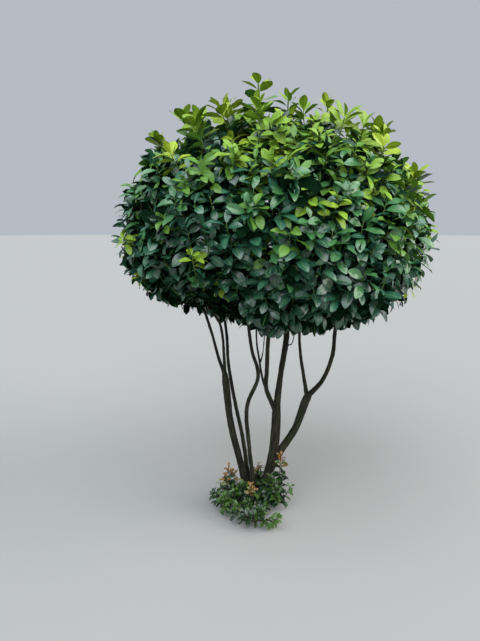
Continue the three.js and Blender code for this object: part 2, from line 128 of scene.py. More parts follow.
SIDE_TWIGS = {  # a thin shoot left on two of the boughs, as on the middle line above
    "thin_bough": [
        (0.021, 0.082, 0.828, 0.0050),
        (0.036, 0.104, 0.872, 0.0044),
        (0.046, 0.130, 0.950, 0.0038),
        (0.056, 0.190, 1.120, 0.0030),
    ],
    "centre_bough": [
        (0.166, 0.050, 0.945, 0.0042),
        (0.196, 0.040, 0.952, 0.0034),
        (0.210, 0.036, 0.985, 0.0030),
        (0.212, 0.036, 1.100, 0.0024),
    ],
}
RUNS_ON = {  # the bough that goes on from the end of each of these
    "trunk": "centre_bough",
    "right_stem": "right_outer_bough",
    "left_stem": "left_outer_bough",
}
LAP = 0.030
LAP_RADII = (0.55, 0.80)  # at the ends of a stem's lap and of its bough's, as shares of the stem's radius
RING_SPACING = 0.005
FACE_WIDTH = 0.0038
LEAST_SIDES = 14
MEASURING_POINTS = 60
COLLAR_SWELL = 0.2
COLLAR_RUN = 0.045
FLUTE_DEPTH = 0.055  # as a share of the radius
FLUTE_LENGTH = 0.140
FLUTES_ROUND = 5
FURROW_DEPTH = 0.00176
FURROW_LENGTH = 0.045
FURROW_WIDTH = 0.008
CRACK_DEPTH = 0.000495
CRACK_LENGTH = 0.014
CRACK_WIDTH = 0.0036
RELIEF_NET_ROWS = 97
GRAIN_SHIFT = 3.7  # how far on in the bark's pattern the next piece is read
SCARS_PER_METRE = 7
SCAR_HEIGHT = 0.16  # as a share of the radius
SCAR_WIDTH = 0.010
SCAR_DENT_DEPTH = 0.55  # as a share of the scar's height
SCAR_DENT_WIDTH = 0.0042
ROOT_CROWN_CENTRE = np.array((0.002, -0.008, 0.0))
ROOT_CROWN_SIZE = np.array((0.090, 0.068, 0.054))
ROOT_CROWN_RINGS, ROOT_CROWN_SIDES = 20, 60


def unit(vectors):
    """Vectors scaled to a length of one."""
    return vectors / np.maximum(np.linalg.norm(vectors, axis=-1, keepdims=True), 1e-9)


def smooth_line(places, shares):
    """Points at those shares of a smooth line through the places. Each stretch is a cubic whose slopes at its
    ends weigh the stretches beside it by the square root of their lengths (a centripetal curve)."""
    places = np.asarray(places, float)
    first = 2 * places[..., :1, :] - places[..., 1:2, :]
    last = 2 * places[..., -1:, :] - places[..., -2:-1, :]
    row = np.concatenate([first, places, last], axis=-2)
    spot = np.asarray(shares, float) * (places.shape[-2] - 1)
    before = np.minimum(spot.astype(int), places.shape[-2] - 2)
    t = (spot - before)[:, None]
    p0, p1, p2, p3 = (row[..., before + step, :] for step in range(4))
    d0, d1, d2 = (
        np.sqrt(np.linalg.norm(b - a, axis=-1, keepdims=True)) for a, b in ((p0, p1), (p1, p2), (p2, p3))
    )
    slope1 = ((p1 - p0) / d0 - (p2 - p0) / (d0 + d1) + (p2 - p1) / d1) * d1
    slope2 = ((p2 - p1) / d1 - (p3 - p1) / (d1 + d2) + (p3 - p2) / d2) * d1
    bend = 3 * (p2 - p1) - 2 * slope1 - slope2
    return p1 + t * (slope1 + t * (bend + t * (2 * (p1 - p2) + slope1 + slope2)))


def tube(lines, sides, swell=1.0):
    """Rings of points round lines whose fourth column is the radius: middle + radius (across cos a + aside
    sin a), with across and aside square to the line's run. swell scales the radius point by point."""
    middle, radius = lines[..., :3], lines[..., 3]
    heading = unit(np.gradient(middle, axis=-2))
    run = unit(middle[..., -1:, :] - middle[..., :1, :])
    level = np.where(np.abs(run[..., :1]) < 0.8, (1.0, 0.0, 0.0), (0.0, 1.0, 0.0))
    across = unit(level - np.sum(level * heading, axis=-1, keepdims=True) * heading)
    aside = np.cross(heading, across)
    angle = np.linspace(0, 2 * np.pi, sides, endpoint=False)[:, None]
    spokes = across[..., None, :] * np.cos(angle) + aside[..., None, :] * np.sin(angle)
    return middle[..., None, :] + (radius[..., None] * swell)[..., None] * spokes


def tube_faces(count, rings, sides):
    """The faces of that many tubes, whose points lie tube by tube and ring by ring: a strip of four-sided
    faces between each two rings, and one face that closes either end."""
    first = np.arange(count)[:, None] * rings * sides
    ring, side = np.meshgrid(np.arange(rings - 1), np.arange(sides), indexing="ij")
    here = ring * sides + side
    beside = ring * sides + (side + 1) % sides
    strip = np.stack([here, beside, beside + sides, here + sides], axis=-1).reshape(-1, 4)
    foot_end = np.arange(sides)[::-1]
    far_end = (rings - 1) * sides + np.arange(sides)
    return [
        (first[:, :, None] + strip).reshape(-1, 4),
        first + foot_end,
        first + far_end,
    ]


def add_object(name, data):
    """A new object in the scene."""
    added = bpy.data.objects.new(name, data)
    bpy.context.collection.objects.link(added)
    return added


def lay_piece(name, points, faces, finishes, finish_of=None):
    """A piece from its points and its faces' corners, one array for each number of corners, riding on the
    plant. finish_of gives each face's place in finishes."""
    mesh = bpy.data.meshes.new(name)
    corners = np.concatenate([rows.ravel() for rows in faces])
    counts = np.concatenate([np.full(len(rows), rows.shape[1]) for rows in faces])
    mesh.vertices.add(points.size // 3)
    mesh.vertices.foreach_set("co", np.ascontiguousarray(points, np.float32).ravel())
    mesh.loops.add(len(corners))
    mesh.loops.foreach_set("vertex_index", corners.astype(np.int32))
    mesh.polygons.add(len(counts))
    mesh.polygons.foreach_set("loop_start", (np.cumsum(counts) - counts).astype(np.int32))
    mesh.polygons.foreach_set("use_smooth", np.ones(len(counts), bool))
    for finish in finishes:
        mesh.materials.append(finish)
    if finish_of is not None:
        mesh.polygons.foreach_set("material_index", finish_of.astype(np.int32))
    mesh.update(calc_edges=True)
    piece = add_object(name, mesh)
    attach(piece, "root")
    return piece


def keep_places(piece, name, places):
    """Where a piece's points lie on its surface spread flat, kept as an attribute that its material reads."""
    kept_places = piece.data.attributes.new(name, "FLOAT_VECTOR", "POINT")
    kept_places.data.foreach_set("vector", places.astype(np.float32).ravel())


def soft_noise(around, along, heights):
    """Smooth random heights over a limb's skin. Heights on a net that closes round the limb are joined by
    the smooth step 3t^2 - 2t^3. around runs from 0 to 1, and along counts the net's rows."""
    rows, columns = heights.shape
    column, row = np.floor(around * columns).astype(int), np.floor(along).astype(int)
    s, t = around * columns - column, along - row
    s, t = s * s * (3 - 2 * s), t * t * (3 - 2 * t)
    corner = lambda right, up: heights[(row + up) % rows, (column + right) % columns]
    low = corner(0, 0) + (corner(1, 0) - corner(0, 0)) * s
    high = corner(0, 1) + (corner(1, 1) - corner(0, 1)) * s
    return low + (high - low) * t


def bark_relief(around, run, radius, seed):
    """How far bark stands out from a limb's even surface, in metres: wide flutes, furrows that run
    lengthways, fine cracks, and the ringed scars of pruned shoots. Each scar is a low mound with a dent in
    its middle: the bell curve exp(-(apart / width)^2) less a narrower one."""
    chance = np.random.default_rng(seed)
    girth = 2 * np.pi * radius.mean()

    def noise(length, width):
        """Soft noise with a height every length along the limb and every width round it. It has at least as
        many heights round the limb as there are flutes."""
        columns = max(FLUTES_ROUND, round(girth / width))
        return soft_noise(around, run / length, chance.uniform(-1, 1, (RELIEF_NET_ROWS, columns)))

    flutes = noise(FLUTE_LENGTH, girth) * FLUTE_DEPTH * radius
    furrows = -np.abs(noise(FURROW_LENGTH, FURROW_WIDTH)) * FURROW_DEPTH
    cracks = noise(CRACK_LENGTH, CRACK_WIDTH) * CRACK_DEPTH
    relief = flutes + furrows + cracks
    length = run.max()
    for _ in range(round(length * SCARS_PER_METRE)):
        place, turn, size = chance.uniform(0.05, 0.95) * length, chance.uniform(), chance.uniform(0.6, 1.0)
        away = np.abs((around - turn + 0.5) % 1 - 0.5) * girth
        apart = np.hypot(away, (run - place) * 0.8) / size
        mound = np.exp(-((apart / SCAR_WIDTH) ** 2))
        dent = SCAR_DENT_DEPTH * np.exp(-((apart / SCAR_DENT_WIDTH) ** 2))
        relief = relief + size * radius.mean() * SCAR_HEIGHT * (mound - dent)
    return relief


def set_sockets(node, sockets):
    """Links a Shade to a node's socket, or sets the socket to a number or colour, the same all over."""
    for name, value in sockets.items():
        if isinstance(value, Shade):
            value.tree.links.new(value.socket, node.inputs[name])
        else:
            node.inputs[name].default_value = value


class Shade:
    """One output of a material's nodes. A sum, difference or product with it adds a Math node."""

    def __init__(self, tree, socket=None):
        self.tree, self.socket = tree, socket

    def node(self, kind, settings, sockets, output=0):
        """Another node of that kind: its settings first, then the values or links of its sockets."""
        added = self.tree.nodes.new(kind)
        for setting, value in settings.items():
            setattr(added, setting, value)
        set_sockets(added, sockets)
        return Shade(self.tree, added.outputs[output])

    def __add__(self, other):
        return self.node("ShaderNodeMath", {"operation": "ADD"}, {0: self, 1: other})

    def __mul__(self, other):
        return self.node("ShaderNodeMath", {"operation": "MULTIPLY"}, {0: self, 1: other})

    def __sub__(self, other):
        return self.node("ShaderNodeMath", {"operation": "SUBTRACT"}, {0: self, 1: other})

    def __rsub__(self, other):
        return self.node("ShaderNodeMath", {"operation": "SUBTRACT"}, {0: other, 1: self})

    __radd__, __rmul__ = __add__, __mul__


def seen_colour(red, green, blue):
    """A colour given as a screen shows it, from 0 to 255, as the light that a shader works with."""
    shown = np.array((red, green, blue)) / 255
    light = np.where(shown > 0.04045, ((shown + 0.055) / 1.055) ** 2.4, shown / 12.92)
    return (*light.tolist(), 1.0)


def new_finish(name):
    """A new material: itself, its shader, and a Shade without an output that its first nodes come from."""
    finish = bpy.data.materials.new(name)
    finish.use_nodes = True
    return finish, finish.node_tree.nodes["Principled BSDF"], Shade(finish.node_tree)


def blend(factor, colour, other):
    """From one colour to another as factor goes from 0 to 1."""
    return factor.node("ShaderNodeMix", {"data_type": "RGBA"}, {0: factor, 6: colour, 7: other}, output=2)


def step(value, low, high):
    """From 0 to 1 as value goes from low to high, smoothly."""
    sockets = {"Value": value, "From Min": low, "From Max": high}
    return value.node("ShaderNodeMapRange", {"interpolation_type": "SMOOTHSTEP"}, sockets)


def bark_finish():
    """Bark, read along the limb laid out straight (the attribute grain): dark furrows between grey-brown
    ridges, a green bloom of algae in broad patches, small pale lichens, and fine cracks in the bump."""
    finish, shader, start = new_finish("furrowed_bark")
    grain = start.node("ShaderNodeAttribute", {"attribute_name": "grain"}, {}, output=1)

    def pattern(stretch, detail):
        """Noise with that many waves to the metre round the limb and along it."""
        laid = start.node("ShaderNodeMapping", {}, {"Vector": grain, "Scale": stretch})
        sockets = {"Vector": laid, "Scale": 1.0, "Detail": detail, "Roughness": 0.6}
        return start.node("ShaderNodeTexNoise", {}, sockets)

    furrows = pattern((130, 130, 16), 4.0)
    cracks = pattern((420, 420, 70), 3.0)
    patches = pattern((17, 17, 6), 3.0)
    spots = pattern((150, 150, 110), 2.0)
    ridge = step(furrows, 0.40, 0.62)
    algae = step(patches, 0.42, 0.66)
    lichen = step(spots, 0.66, 0.74) * step(patches, 0.40, 0.52)
    wood = blend(ridge, seen_colour(14, 12, 8), seen_colour(43, 39, 27))
    green = blend(ridge, seen_colour(15, 17, 7), seen_colour(38, 42, 21))
    grown = blend(algae * 0.85, wood, green)
    height = ridge * 0.7 + cracks * 0.6 + lichen * 0.15
    bump = {"Strength": 0.55, "Distance": 0.0016, "Height": height}
    looks = {
        "Base Color": blend(lichen * 0.45, grown, seen_colour(92, 92, 66)),
        "Roughness": 0.92 - ridge * 0.16,
        "Specular IOR Level": 0.25,
        "Normal": start.node("ShaderNodeBump", {}, bump),
    }
    set_sockets(shader, looks)
    return finish


def lay_bark(name, parts, seed):
    """A piece of bark from tubes laid as (points, places in the straightened limb), each rings by sides."""
    points = np.concatenate([part.reshape(-1, 3) for part, _ in parts])
    grain = np.concatenate([laid.reshape(-1, 3) for _, laid in parts]) + (0, 0, GRAIN_SHIFT * seed)
    faces, first = [], 0
    for part, _ in parts:
        rings, sides = part.shape[-3:-1]
        count = part.size // (3 * rings * sides)
        faces += [rows + first for rows in tube_faces(count, rings, sides)]
        first += part.size // 3
    piece = lay_piece(name, points, faces, [furrowed_bark])
    keep_places(piece, "grain", grain)
    return piece


def lapped(name):
    """A limb's places. Where a bough runs on from the end of a stem, each reaches a lap's length into the
    other and is thinner there, so that their barks meet without a step."""
    places = np.array(LIMBS[name])
    if name in RUNS_ON:
        onward = np.diff(np.array(LIMBS[RUNS_ON[name]])[:2, :3], axis=0)
        beyond = places[-1, :3] + LAP * unit(onward)[0]
        places = np.vstack([places, [*beyond, LAP_RADII[0] * places[-1, 3]]])
    for stem, bough in RUNS_ON.items():
        if bough == name:
            ends = np.array(LIMBS[stem])[-2:]
            lead = places[0, :3] - LAP * unit(ends[1:, :3] - ends[:1, :3])[0]
            places = np.vstack([[*lead, LAP_RADII[1] * ends[1, 3]], places])
    return places


def limb_skin(places, seed, collar_swell=COLLAR_SWELL):
    """A limb's bark as rings of points round its middle line, with its collar and relief, and the same
    points with the limb laid straight. What would lie below the ground is flattened onto it."""
    rough = smooth_line(places, np.linspace(0, 1, MEASURING_POINTS))
    length = np.linalg.norm(np.diff(rough[:, :3], axis=0), axis=1).sum()
    line = smooth_line(places, np.linspace(0, 1, round(length / RING_SPACING) + 1))
    sides = max(LEAST_SIDES, round(2 * np.pi * line[:, 3].mean() / FACE_WIDTH))
    steps = np.linalg.norm(np.diff(line[:, :3], axis=0), axis=1)
    run = np.concatenate([[0], np.cumsum(steps)])[:, None]
    around = np.linspace(0, 1, sides, endpoint=False)[None, :]
    radius = line[:, 3:]
    swell = 1 + collar_swell * np.exp(-((run / COLLAR_RUN) ** 2))
    swell = swell + bark_relief(around, run, radius, seed) / radius
    points = tube(line, sides, swell)
    points[..., 2] = np.maximum(points[..., 2], 0)
    angle = 2 * np.pi * around
    laid = np.stack([radius * np.cos(angle), radius * np.sin(angle), run + 0 * angle], axis=-1)
    return points, laid


def root_crown():
    """The root crown: half a ball drawn out to its three sizes, swollen into root flares by two waves round
    it, and roughened. Its rim lies on the ground."""
    chance = np.random.default_rng(3)
    rise = np.linspace(0, np.pi / 2 - 0.04, ROOT_CROWN_RINGS)[:, None]
    turn = np.linspace(0, 2 * np.pi, ROOT_CROWN_SIDES, endpoint=False)[None, :]
    around = turn / (2 * np.pi)
    lobes = 0.07 * np.cos(5 * turn + 0.6) + 0.05 * np.cos(3 * turn - 1.1)
    rough = soft_noise(around, rise * 9, chance.uniform(-1, 1, (17, 23))) * 0.035
    rough = rough - np.abs(soft_noise(around, rise * 4, chance.uniform(-1, 1, (17, 31)))) * 0.05
    level = np.cos(rise)
    swell = 0.97 + lobes * level + rough
    ball = np.stack([level * np.cos(turn), level * np.sin(turn), np.sin(rise) + 0 * turn], axis=-1)
    points = ROOT_CROWN_CENTRE + ball * ROOT_CROWN_SIZE * swell[..., None]
    return points, points.copy()


furrowed_bark = bark_finish()
for seed, name in enumerate(LIMBS):
    no_collar = name == "trunk" or name in RUNS_ON.values()
    parts = [limb_skin(lapped(name), seed, 0.0 if no_collar else COLLAR_SWELL)]
    if name in SIDE_TWIGS:
        parts.append(limb_skin(SIDE_TWIGS[name], 30 + seed))
    if name == "trunk":
        parts.append(root_crown())
    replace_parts(lay_bark(name + "_bark", parts, seed), name)

# Crown: its outline, its sectors and its boughs
# Inside the clipped dome each bare bough runs on and splits into boughs no thicker than a finger, which fan
# out to the outline. The dome is squarer below than above, and each bough fills one sector of it.
CROWN_CENTRE = np.array((0.090, 0.0, 1.650))
CROWN_RADIUS = 0.835
DOME_HEIGHT, DOME_ROUNDNESS = 0.600, 2.3
SKIRT_DEPTH, SKIRT_ROUNDNESS = 0.560, 2.6
RIM_SITE_RADIUS = 0.470
RIM_SITE_HEIGHT = 1.560
MIDDLE_SITE = (0.125, 0.025, 1.770)
MIDDLE_WIDENING = 0.095
# Where the dome bulges or falls short: its bearing, rise and spread in degrees, and the share of its reach.
UNEVEN_CLIPPING = np.array([
    (186, 4, 34, 0.060),
    (188, 44, 20, -0.050),
    (5, 40, 22, -0.085),
    (232, 48, 12, -0.060),
    (315, 38, 12, -0.045),
    (214, -34, 20, -0.090),
    (242, -36, 13, -0.180),
    (264, -38, 9, 0.145),
    (311, -38, 18, 0.070),
])
SECTOR_GAP = 0.007
CORE_DEPTH = 0.150  # how far under the outline the dense inside of a mass lies
CORE_MOST_REACH = 0.430
CORE_ROUNDING = 9
FAR_OFF = 50.0
INNER_STEM_RUN = 0.090
INNER_STEM_TAPER = 0.62
INNER_STEM_RINGS = 24
INNER_STEM_SIDES = 12
SHOOT_COUNT = 109
SHOOT_TIP_DEPTH = 0.098
SHOOT_ROOT_DEPTH = 0.034
SHOOT_RADII = (0.0075, 0.0062, 0.0050, 0.0040, 0.0028)
SHOOT_RINGS = 25
SHOOT_SIDES = 6
LOWEST_FORK = 1.22  # the height of the roots of the shoots that leave their inner stem lowest
FORK_RISE = 0.44  # from there up to the roots of those that leave it at its end
SORTING_SHARE = 0.86  # of the way out to the outline, where a shoot's mass is settled
TUBE_GRAIN_SHIFT = 0.83  # how far on in the bark's pattern the next tube of a piece is read
TWIG_RINGS = 9  # of a twig, and of a shoot's end, which has a twig's green skin in place of bark
LEADERS = np.array([  # where the leaf tips of shoots stand that have grown past the clipped dome
    (-0.010, -0.120, 2.378),
    (0.140, -0.110, 2.290),
    (0.356, -0.010, 2.285),
    (-0.338, -0.060, 2.198),
    (-0.510, -0.060, 2.098),
    (0.652, -0.040, 2.150),
    (0.420, 0.300, 2.235),
    (-0.120, 0.380, 2.230),
    (-0.420, 0.310, 2.120),
    (0.740, -0.250, 1.915),
])
LEADER_LENGTH = 0.190
LEADER_TIP_DEPTH = 0.050
LEADER_LEAN = 0.15  # how far a leader's root is drawn towards the middle of its mass
MASSES = {  # of leaves: the bough that carries each, and its bearing round the crown in degrees from +X
    "foliage_right": ("right_outer_bough", 350),
    "foliage_back_right": ("right_inner_bough", 52),
    "foliage_back": ("thin_bough", 98),
    "foliage_back_left": ("back_left_stem", 138),
    "foliage_left": ("left_outer_bough", 180),
    "foliage_front_left": ("left_inner_bough", 214),
    "foliage_front": ("slender_stem", 245),
    "foliage_front_right": ("front_bough", 286),
    "foliage_top": ("centre_bough", None),
}
UP = np.array((0.0, 0.0, 1.0))
GOLDEN_ANGLE = np.pi * (3 - np.sqrt(5))


def ray(bearing, rise):
    """The way that points in a bearing round from +X, at a rise above level, both in degrees."""
    turn, lift = np.radians((bearing, rise))
    return np.stack([np.cos(lift) * np.cos(turn), np.cos(lift) * np.sin(turn), np.sin(lift)])


def outline_share(points):
    """How far out points are from the crown's centre, as a share of the clipped outline there: a superellipse
    turned about the upright, ((radial / radius)^n + (height / depth)^n)^(1/n), over one plus the bell curves
    of the uneven clipping, exp((cos angle - 1) / spread^2)."""
    away = points - CROWN_CENTRE
    bearing, rise, spread, bulge = UNEVEN_CLIPPING.T
    uneven = 1 + np.exp((unit(away) @ ray(bearing, rise) - 1) / np.radians(spread) ** 2) @ bulge
    radial = np.hypot(away[..., 0], away[..., 1]) / CROWN_RADIUS
    above = away[..., 2] > 0
    depth = np.where(above, DOME_HEIGHT, SKIRT_DEPTH)
    power = np.where(above, DOME_ROUNDNESS, SKIRT_ROUNDNESS)
    return (radial**power + (np.abs(away[..., 2]) / depth) ** power) ** (1 / power) / uneven


def reach_to_outline(places, directions, farthest=2.0, halvings=24):
    """How far it is from places inside the crown to its outline in those directions, found by halving."""
    inside = np.zeros(directions.shape[:-1])
    outside = inside + farthest
    for _ in range(halvings):
        middle = (inside + outside) / 2
        within = outline_share(places + directions * middle[..., None]) < 1
        inside, outside = np.where(within, middle, inside), np.where(within, outside, middle)
    return inside


bearings = np.radians([bearing or 0 for _, bearing in MASSES.values()])
sites = np.stack(
    [
        CROWN_CENTRE[0] + RIM_SITE_RADIUS * np.cos(bearings),
        CROWN_CENTRE[1] + RIM_SITE_RADIUS * np.sin(bearings),
        np.full(len(MASSES), RIM_SITE_HEIGHT),
    ],
    axis=1,
)
sites[-1] = MIDDLE_SITE
widening = np.array([0.0] * (len(MASSES) - 1) + [MIDDLE_WIDENING])
site_ways = sites[None, :, :] - sites[:, None, :]
site_gaps = np.maximum(np.linalg.norm(site_ways, axis=-1), 1e-9)
borders = (site_gaps**2 + widening[:, None] - widening[None, :]) / (2 * site_gaps)
borders[np.diag_indices(len(MASSES))] = np.inf
site_ways = site_ways / site_gaps[..., None]


def inside_sectors(points):
    """How far inside each mass's sector points are, one column for each mass: the least way to a border,
    which halves the way to a neighbour, less what the wider one takes."""
    away = points[:, None, :] - sites[None, :, :]
    return np.min(borders[None] - np.einsum("pmk,mok->pmo", away, site_ways), axis=-1)


def core_reach(mass, directions):
    """How far the dense inside of a mass reaches in those directions: a rounded least of the ways to the
    outline, to its borders and to its most reach, (the sum of way^-n)^(-1/n)."""
    slopes = np.einsum("pk,pok->po", directions, site_ways[mass])
    level = 0.02
    to_borders = np.where(slopes > level, (borders[mass] - SECTOR_GAP) / np.maximum(slopes, level), FAR_OFF)
    to_outline = reach_to_outline(sites[mass], directions) - CORE_DEPTH
    rest = np.stack([np.full(len(mass), CORE_MOST_REACH), to_outline], axis=1)
    ways = np.concatenate([to_borders, rest], axis=1)
    return np.sum(ways**-CORE_ROUNDING, axis=1) ** (-1 / CORE_ROUNDING)


def spiral_aims(count, start=0.0, squeeze=0.8):
    """Places spread evenly over the clipped outline. Ray k of a golden spiral, squeezed in height, runs from
    the crown's centre to the outline."""
    number = np.arange(count)
    height = 1 - (2 * number + 1) / count
    level = np.sqrt(1 - height**2)
    turn = number * GOLDEN_ANGLE + start
    rays = unit(np.stack([level * np.cos(turn), level * np.sin(turn), squeeze * height], axis=1))
    return CROWN_CENTRE + rays * reach_to_outline(CROWN_CENTRE, rays)[:, None]


def tapered(places, radii, rings):
    """Smooth lines of that many points through each row of places, whose radius goes through radii."""
    radius = np.broadcast_to(np.array(radii)[:, None], (len(places), len(radii), 1))
    return smooth_line(np.concatenate([places, radius], axis=-1), np.linspace(0, 1, rings))


# The stem inside each mass runs on from its bough's end and turns to the middle of the mass.
inner_stems = []
for (bough, _), site in zip(MASSES.values(), sites):
    near_end, end = smooth_line(LIMBS[bough], np.array((0.98, 1.0)))
    start, radius = end[:3], end[3]
    bend = start + unit(start - near_end[:3]) * INNER_STEM_RUN
    inner_stems.append([(*start, radius), (*bend, radius), (*site, radius * INNER_STEM_TAPER)])
inner_stems = smooth_line(np.array(inner_stems), np.linspace(0, 1, INNER_STEM_RINGS))

# Each shoot leaves its inner stem, the lower ones further down, and ends just inside the outline.
aims = spiral_aims(SHOOT_COUNT)
shoot_mass = np.argmax(inside_sectors(CROWN_CENTRE + (aims - CROWN_CENTRE) * SORTING_SHARE), axis=1)
outward = unit(aims - CROWN_CENTRE)
tips = aims - SHOOT_TIP_DEPTH * outward
ways = unit(tips - sites[shoot_mass])
roots = sites[shoot_mass] + ways * (core_reach(shoot_mass, ways) - SHOOT_ROOT_DEPTH)[:, None]
leader_tips = LEADERS - LEADER_TIP_DEPTH * UP
leader_mass = np.argmax(inside_sectors(LEADERS), axis=1)
leader_roots = (leader_tips - LEADER_LENGTH * UP) * (1 - LEADER_LEAN) + sites[leader_mass] * LEADER_LEAN
shoot_mass = np.concatenate([shoot_mass, leader_mass])
tips, roots = np.concatenate([tips, leader_tips]), np.concatenate([roots, leader_roots])
outward = np.concatenate([outward, np.tile(UP, (len(LEADERS), 1))])
leave_at = np.clip((roots[:, 2] - LOWEST_FORK) / FORK_RISE, 0.12, 1.0) * (INNER_STEM_RINGS - 1)
leaves_from = inner_stems[shoot_mass, leave_at.astype(int), :3]
elbows = roots * 0.45 + tips * 0.55 - 0.010 * UP + 0.006 * outward
bends = leaves_from * 0.5 + roots * 0.5 + 0.02 * UP - 0.02 * outward
shoots = tapered(np.stack([leaves_from, bends, roots, elbows, tips], axis=1), SHOOT_RADII, SHOOT_RINGS)


def straightened(lines, sides):
    """The places of tubes' points with each tube laid straight, shifted on from the last."""
    steps = np.linalg.norm(np.diff(lines[..., :3], axis=-2), axis=-1)
    run = np.concatenate([np.zeros((len(lines), 1)), np.cumsum(steps, axis=1)], axis=1)
    angle = np.linspace(0, 2 * np.pi, sides, endpoint=False)
    run = (run + TUBE_GRAIN_SHIFT * np.arange(len(lines))[:, None])[..., None]
    radius = lines[..., 3:]
    return np.stack([radius * np.cos(angle), radius * np.sin(angle), run + 0 * angle], axis=-1)


def branch_parts(stem, stem_sides, carried):
    """The parts of a piece of bark: a stem, and the thinner shoots that it carries."""
    tubes = (stem[None], stem_sides), (carried, SHOOT_SIDES)
    return [(tube(lines, sides), straightened(lines, sides)) for lines, sides in tubes]


for number, name in enumerate(MASSES):
    carried = shoots[shoot_mass == number, : 1 - TWIG_RINGS]
    parts = branch_parts(inner_stems[number], INNER_STEM_SIDES, carried)
    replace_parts(lay_bark(name + "_boughs", parts, 20 + number), name)

# Crown: twigs and leaves
# Twigs no thicker than a pencil stand at every hand's width under the outline, brown where they are older
# and green towards the tip. Each carries a rosette of leathery leaves on short stalks, a hand's breadth long
# and folded a little along the pale midrib: upright in the light on top, hanging outwards low down.
TWIG_COUNT = 920
TWIG_RADII = (0.0034, 0.0026, 0.0017)
TWIG_SIDES = 4
TWIG_UPRIGHT_RUN = 0.12
TWIG_SORTING_DEPTH = 0.12  # under the outline, where a twig's mass is settled
TWIG_TIP_DEPTH = 0.046
LEADER_HANDICAP = 0.05  # how much nearer than a shoot a leader has to be for a twig to leave it
CLUMP_MOST_SETBACK = 0.07
DOME_TOP = 0.45  # how steeply the way out from the crown's centre rises where the top of the dome begins
PROUD_ON_TOP, PROUD_ON_SIDES = 0.17, 0.045  # shares of the twigs that stand out past their clump
HANGING_HEIGHT, UPRIGHT_RISE = 1.12, 0.35  # twigs spread at this height, and stand up so far above it
LEAVES_PER_TWIG = 19
OUTER_LEAVES_PER_TWIG = 9
SPREAD_LEAF, DEEP_LEAF = 11, 12  # from the tip: the first that is fully spread, the last in any light
LEAF_LENGTH = 0.094
LEAF_WIDTH = 0.044
STALK_SHARE = 0.10
FULL_NET = (  # shares of a leaf's length and half width where its points lie
    np.array((0.0, 0.10, 0.20, 0.38, 0.60, 0.80, 0.94, 1.0)),
    np.array((-1.0, -0.52, -0.035, 0.035, 0.52, 1.0)),
)
INNER_NET = (np.array((0.0, 0.14, 0.45, 0.82, 1.0)), np.array((-1.0, 0.0, 1.0)))
OUTLINE_SLACK = 1.03
SECTOR_SLACK = 0.03
HIGHEST_LEAF = 2.372
LEAF_ZONE_FOOT, LEAF_ZONE_HEIGHT = 1.15, 1.1
LEAF_TRIES = 3
VEINS_PER_SIDE = 9
LIMB_TEST_PLACES = 120


def leaf_finish(name, colour, roughness=0.34, wax=0.25):
    """A leathery leaf under a coat of wax. Its colour is dealt out spray by spray, and is a little uneven
    within a leaf, as the gloss is, over a low blistered bump. Pale, sunken side veins slant forward from the
    midrib: they are the peaks of a zigzag wave of (along - 0.1 aside) in the attribute blade, which a twig
    doesn't have."""
    finish, shader, start = new_finish(name)
    place = start.node("ShaderNodeTexCoord", {}, {}, output="Object")
    mottle = start.node("ShaderNodeTexNoise", {}, {"Vector": place, "Scale": 55.0, "Detail": 2.0})
    tone = np.array(seen_colour(*colour))
    darker, lighter, pale = ((*np.minimum(tone[:3] * share, 1), 1.0) for share in (0.62, 1.38, 2.2))
    mixed = blend(mottle, darker, lighter)
    blade = start.node("ShaderNodeAttribute", {"attribute_name": "blade"}, {}, output=1)
    aside, along = (start.node("ShaderNodeSeparateXYZ", {}, {0: blade}, output=axis) for axis in (0, 1))
    off_rib = start.node("ShaderNodeMath", {"operation": "ABSOLUTE"}, {0: aside})
    slant = (along - off_rib * 0.1) * VEINS_PER_SIDE
    wave = start.node("ShaderNodeMath", {"operation": "PINGPONG"}, {0: slant, 1: 0.5})
    vein = step(wave, 0.37, 0.5) * (1 - off_rib * 0.7)
    bump = {"Strength": 0.5, "Distance": 0.002, "Height": mottle - vein * 0.5}
    looks = {
        "Base Color": blend(vein * 0.42, mixed, pale),
        "Roughness": mottle * 0.24 + (roughness - 0.12),
        "Specular IOR Level": 1.35 * wax,
        "Coat Weight": wax,
        "Coat Roughness": 0.22,
        "Normal": start.node("ShaderNodeBump", {}, bump),
    }
    set_sockets(shader, looks)
    return finish


MATURE_LEAVES = [  # one leaf green with painted shade and painted light, from the shade inside the crown to the light on top of it
    leaf_finish("leaf_deep_shade", (10, 30, 16), 0.6, 0.0),
    leaf_finish("leaf_dark", (27, 62, 46), 0.34, 0.35),
    leaf_finish("leaf_blue_green", (40, 88, 66), 0.32, 0.4),
    leaf_finish("leaf_mid_green", (54, 104, 58), 0.32, 0.4),
    leaf_finish("leaf_lit_green", (82, 121, 44), 0.36, 0.18),
    leaf_finish("leaf_sunlit_green", (108, 142, 42), 0.38, 0.14),
]
YOUNG_LEAVES = [
    leaf_finish("young_leaf_green", (112, 142, 40), 0.38, 0.14),
    leaf_finish("young_leaf_lime", (134, 156, 42), 0.38, 0.14),
    leaf_finish("young_leaf_bronze", (112, 114, 44), 0.38, 0.14),
]
MATURE_RIB = leaf_finish("leaf_midrib", (98, 134, 76), 0.5, 0.1)
YOUNG_RIB = leaf_finish("young_leaf_midrib", (146, 174, 74), 0.5, 0.1)
TWIG_TONES = [
    leaf_finish("twig_brown", (62, 56, 40), 0.75, 0.0),
    leaf_finish("twig_green", (72, 94, 44), 0.6, 0.0),
]


